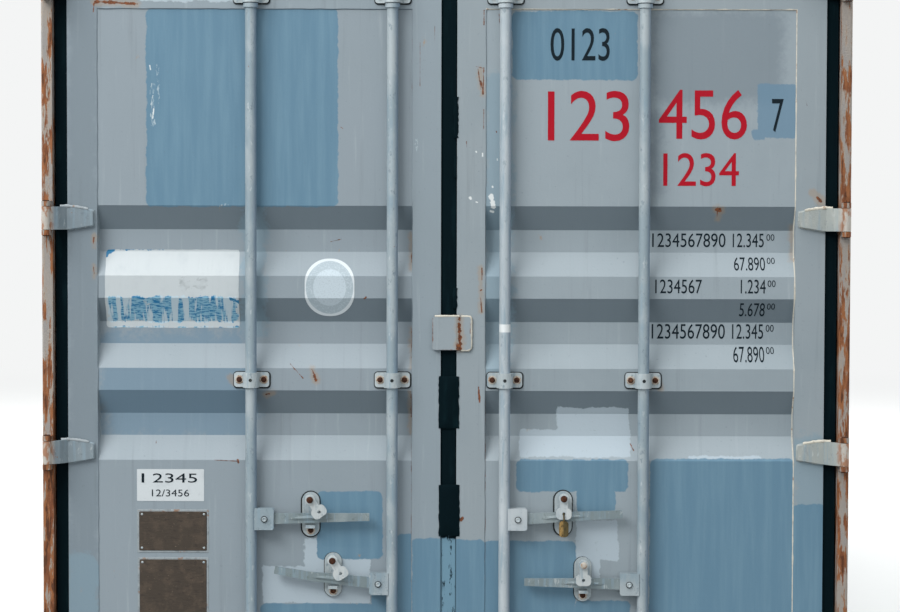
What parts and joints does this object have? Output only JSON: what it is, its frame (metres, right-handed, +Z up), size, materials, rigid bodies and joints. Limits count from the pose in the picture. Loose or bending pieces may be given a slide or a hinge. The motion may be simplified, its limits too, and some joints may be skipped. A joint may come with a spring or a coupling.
{
  "type": "shipping container",
  "caption": "Steel freight container with corrugated walls, corner castings, fork pockets and a pair of hinged, bar-locked end doors.",
  "frame": {"origin": "centre of the rectangle under the corner castings, on the ground", "axes": "+Z up, doors face -Y, +X to the right of someone facing the doors, +Y along the length"},
  "size_m": [2.438, 6.058, 2.591],
  "materials": {
    "painted_steel": "weathered paint on steel sections, rust at the edges",
    "painted_sheet": "weathered paint on corrugated sheet",
    "door_paint": "faded pale blue-grey paint with darker repairs",
    "galvanised": "worn galvanised steel with traces of paint",
    "gasket": "matt weathered rubber",
    "plywood": "worn plywood",
    "brass": "dull brass"
  },
  "bodies": {
    "container": {"bottom_corner_castings": "painted_steel", "top_corner_castings": "painted_steel", "rear_posts": "painted_steel", "front_posts": "painted_steel", "bottom_side_rails": "painted_steel", "top_side_rails": "painted_steel", "left_side_wall": "painted_sheet", "right_side_wall": "painted_sheet", "front_wall": "painted_sheet", "front_sill": "painted_steel", "front_header": "painted_steel", "roof": "painted_sheet", "floor": "plywood", "crossmembers": "painted_steel", "fork_pockets": "painted_steel", "door_header": "painted_steel", "door_sill": "painted_steel", "cam_keepers": "galvanised", "hinge_lugs": "painted_steel", "hinge_pins": "galvanised"},
    "left_door": {"left_leaf_frame": "door_paint", "left_leaf_panel": "door_paint", "left_gasket": "gasket", "left_hinge_blades": "door_paint", "left_bar_guides": "door_paint", "left_catches": "door_paint"},
    "right_door": {"right_leaf_frame": "door_paint", "right_leaf_panel": "door_paint", "right_gasket": "gasket", "right_hinge_blades": "door_paint", "right_bar_guides": "door_paint", "right_catches": "door_paint", "overlap_plate": "door_paint"},
    "left_outer_bar": {"left_outer_bar": "galvanised"},
    "left_outer_handle": {"left_outer_handle": "galvanised"},
    "left_outer_latch": {"left_outer_latch": "door_paint"},
    "left_inner_bar": {"left_inner_bar": "galvanised"},
    "left_inner_handle": {"left_inner_handle": "galvanised"},
    "left_inner_latch": {"left_inner_latch": "door_paint"},
    "right_inner_bar": {"right_inner_bar": "galvanised"},
    "right_inner_handle": {"right_inner_handle": "galvanised"},
    "right_inner_latch": {"right_inner_latch": "door_paint", "padlock": "brass"},
    "right_outer_bar": {"right_outer_bar": "galvanised"},
    "right_outer_handle": {"right_outer_handle": "galvanised"},
    "right_outer_latch": {"right_outer_latch": "door_paint"}
  },
  "joints": [
    {"name": "left_door_hinge", "type": "hinge", "parent": "container", "child": "left_door", "pos_m": [-1.197, -3.013, 0.253], "axis": [0, 0, -1], "range_deg": [0, 266]},
    {"name": "right_door_hinge", "type": "hinge", "parent": "container", "child": "right_door", "pos_m": [1.197, -3.013, 0.253], "axis": [0, 0, 1], "range_deg": [0, 266]},
    {"name": "left_outer_bar_turn", "type": "hinge", "parent": "left_door", "child": "left_outer_bar", "pos_m": [-0.587, -2.979, 0.756], "axis": [0, 0, 1], "range_deg": [-100, 0]},
    {"name": "left_outer_handle_lift", "type": "hinge", "parent": "left_outer_bar", "child": "left_outer_handle", "pos_m": [-0.546, -2.979, 0.756], "axis": [0, 1, 0], "range_deg": [-8, 0]},
    {"name": "left_outer_latch_swing", "type": "hinge", "parent": "left_door", "child": "left_outer_latch", "pos_m": [-0.40802, -2.997, 0.81641], "axis": [0, 1, 0], "range_deg": [-74, 36]},
    {"name": "left_inner_bar_turn", "type": "hinge", "parent": "left_door", "child": "left_inner_bar", "pos_m": [-0.162, -2.979, 0.56], "axis": [0, 0, -1], "range_deg": [-100, 0]},
    {"name": "left_inner_handle_lift", "type": "hinge", "parent": "left_inner_bar", "child": "left_inner_handle", "pos_m": [-0.203, -2.979, 0.56], "axis": [0, -1, 0], "range_deg": [-8, 0]},
    {"name": "left_inner_latch_swing", "type": "hinge", "parent": "left_door", "child": "left_inner_latch", "pos_m": [-0.34024, -2.997, 0.63243], "axis": [0, 1, 0], "range_deg": [-78, 32]},
    {"name": "right_inner_bar_turn", "type": "hinge", "parent": "right_door", "child": "right_inner_bar", "pos_m": [0.177, -2.979, 0.756], "axis": [0, 0, 1], "range_deg": [-100, 0]},
    {"name": "right_inner_handle_lift", "type": "hinge", "parent": "right_inner_bar", "child": "right_inner_handle", "pos_m": [0.218, -2.979, 0.756], "axis": [0, 1, 0], "range_deg": [-8, 0]},
    {"name": "right_inner_latch_swing", "type": "hinge", "parent": "right_door", "child": "right_inner_latch", "pos_m": [0.35581, -2.997, 0.82122], "axis": [0, 1, 0], "range_deg": [-110, 0]},
    {"name": "right_outer_bar_turn", "type": "hinge", "parent": "right_door", "child": "right_outer_bar", "pos_m": [0.595, -2.979, 0.56], "axis": [0, 0, -1], "range_deg": [-100, 0]},
    {"name": "right_outer_handle_lift", "type": "hinge", "parent": "right_outer_bar", "child": "right_outer_handle", "pos_m": [0.554, -2.979, 0.56], "axis": [0, -1, 0], "range_deg": [-8, 0]},
    {"name": "right_outer_latch_swing", "type": "hinge", "parent": "right_door", "child": "right_outer_latch", "pos_m": [0.41602, -2.997, 0.62041], "axis": [0, 1, 0], "range_deg": [-110, 0]}
  ]
}
